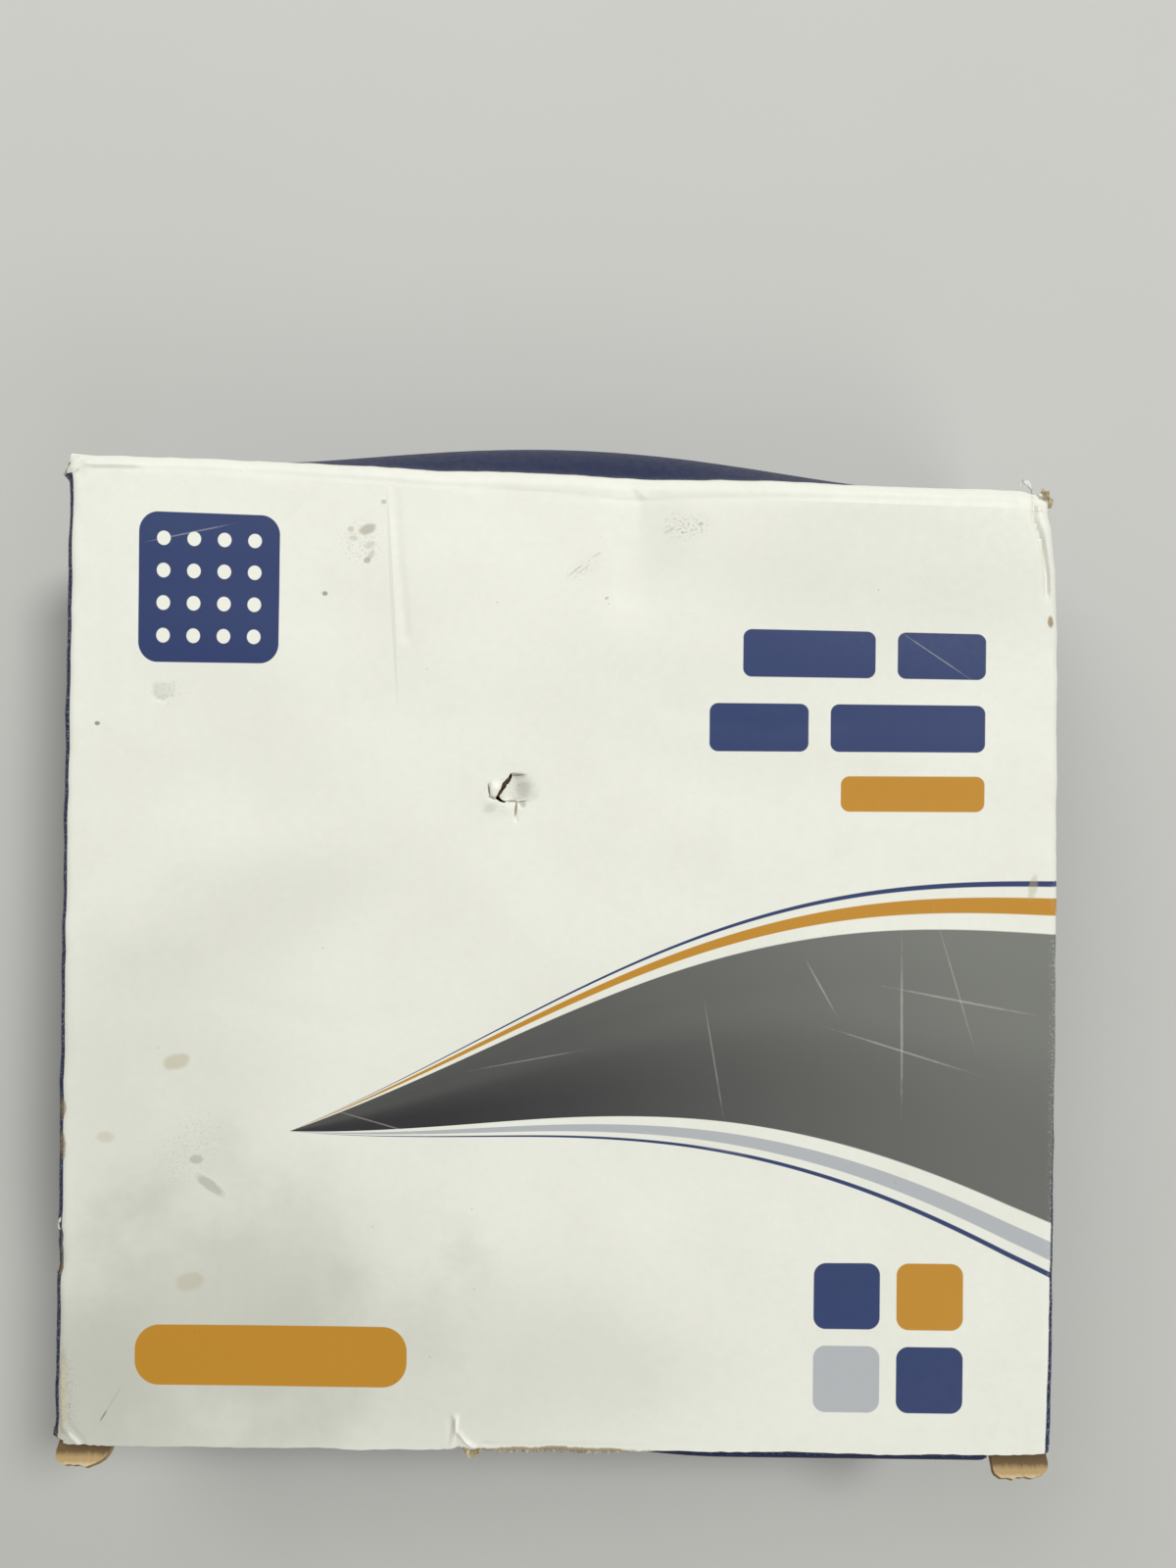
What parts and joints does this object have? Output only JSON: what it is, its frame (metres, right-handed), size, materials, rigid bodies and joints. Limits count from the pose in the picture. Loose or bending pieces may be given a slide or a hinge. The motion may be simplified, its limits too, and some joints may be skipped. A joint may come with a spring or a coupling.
{
  "type": "tuck-end corrugated carton",
  "caption": "Square shallow printed carton of corrugated board, closed with tuck flaps at both ends, lying face up, with hinged closures and dust flaps.",
  "frame": {"origin": "middle of the back panel's outer face, on the floor that the carton lies on", "axes": "+Z from the back panel to the printed face, +Y towards the end whose closure hangs from the face, +X towards the right of someone who reads the face"},
  "size_m": [0.182, 0.193, 0.046],
  "materials": {
    "white_printed_board": "coated paper, white with printed bands, on corrugated board",
    "navy_printed_board": "coated paper printed plain navy, on corrugated board",
    "kraft_board": "bare brown liner"
  },
  "bodies": {
    "sleeve": {"sleeve": "white_printed_board"},
    "top_closure": {"top_closure": "navy_printed_board"},
    "bottom_closure": {"bottom_closure": "navy_printed_board"},
    "top_right_dust_flap": {"top_right_dust_flap": "kraft_board"},
    "top_left_dust_flap": {"top_left_dust_flap": "kraft_board"},
    "bottom_right_dust_flap": {"bottom_right_dust_flap": "kraft_board"},
    "bottom_left_dust_flap": {"bottom_left_dust_flap": "kraft_board"}
  },
  "joints": [
    {"name": "top_closure_crease", "type": "hinge", "parent": "sleeve", "child": "top_closure", "pos_m": [0, 0.08825, 0.04525], "axis": [1, 0, 0], "range_deg": [0, 135]},
    {"name": "bottom_closure_crease", "type": "hinge", "parent": "sleeve", "child": "bottom_closure", "pos_m": [0, -0.08825, 0.00075], "axis": [1, 0, 0], "range_deg": [0, 80]},
    {"name": "top_right_dust_flap_crease", "type": "hinge", "parent": "sleeve", "child": "top_right_dust_flap", "pos_m": [0.08845, 0.08645, 0], "axis": [0, 0, 1], "range_deg": [0, 75]},
    {"name": "top_left_dust_flap_crease", "type": "hinge", "parent": "sleeve", "child": "top_left_dust_flap", "pos_m": [-0.08845, 0.08645, 0], "axis": [0, 0, 1], "range_deg": [-75, 0]},
    {"name": "bottom_right_dust_flap_crease", "type": "hinge", "parent": "sleeve", "child": "bottom_right_dust_flap", "pos_m": [0.08845, -0.08645, 0], "axis": [0, 0, 1], "range_deg": [-75, 0]},
    {"name": "bottom_left_dust_flap_crease", "type": "hinge", "parent": "sleeve", "child": "bottom_left_dust_flap", "pos_m": [-0.08845, -0.08645, 0], "axis": [0, 0, 1], "range_deg": [0, 75]}
  ]
}
